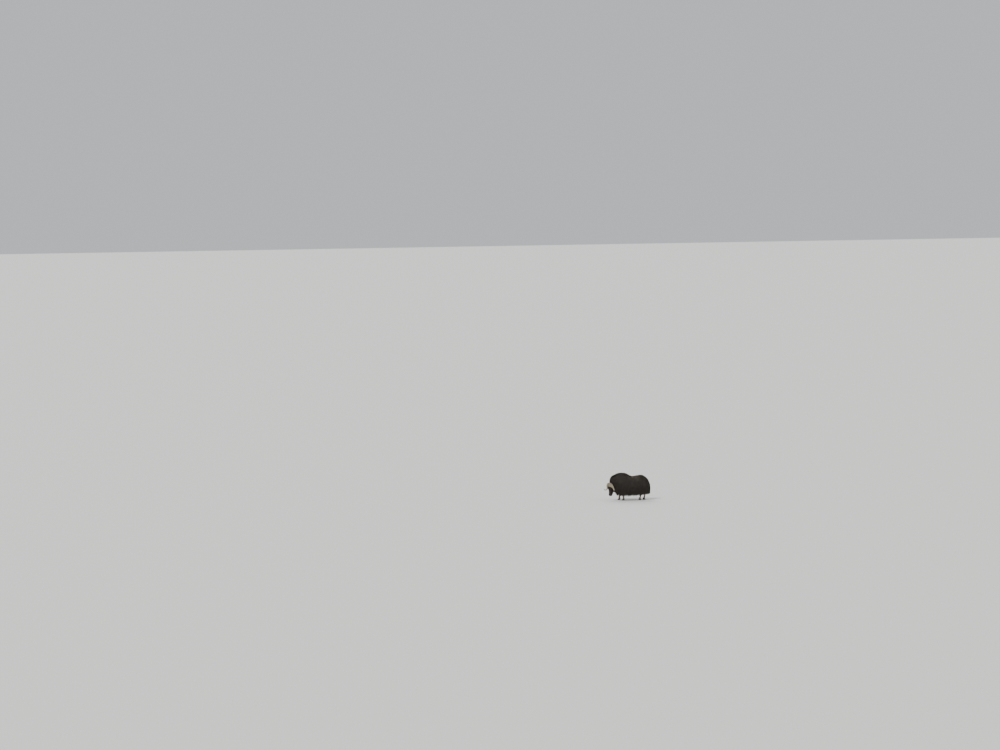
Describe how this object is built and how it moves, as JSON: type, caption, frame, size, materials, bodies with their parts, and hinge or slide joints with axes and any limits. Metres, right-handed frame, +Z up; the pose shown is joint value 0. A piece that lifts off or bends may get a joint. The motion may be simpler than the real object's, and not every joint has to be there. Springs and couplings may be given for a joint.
{
  "type": "muskox",
  "caption": "Life-size still model of a bull muskox in its long shaggy coat, standing with its lowered head turned to its left, horns curving down and out.",
  "frame": {"origin": "middle of the model's footprint box on the floor", "axes": "+X runs from the head to the rump, so the bull faces -X; +Y is the bull's right side; +Z is up from the floor"},
  "size_m": [2.1866, 0.9214, 1.2985],
  "materials": {
    "coat": "long coarse dark brown guard hair, paler on the back",
    "face": "short dark brown hair",
    "horn": "fibrous pale boss, smooth darker tips",
    "eye": "wet and glossy",
    "stocking": "short pale brown hair",
    "hoof": "dull dark horn"
  },
  "bodies": {
    "root": {"neck": "coat", "shoulders": "coat", "barrel": "coat", "rump": "coat", "tail": "coat", "head": "face", "ear_left": "face", "ear_right": "face", "horn_left": "horn", "horn_right": "horn", "eye_left": "eye", "eye_right": "eye", "leg_front_left": "stocking", "leg_front_right": "stocking", "leg_hind_left": "stocking", "leg_hind_right": "stocking", "toe_front_left_a": "hoof", "toe_front_left_b": "hoof", "toe_front_right_a": "hoof", "toe_front_right_b": "hoof", "toe_hind_left_a": "hoof", "toe_hind_left_b": "hoof", "toe_hind_right_a": "hoof", "toe_hind_right_b": "hoof"}
  },
  "joints": []
}
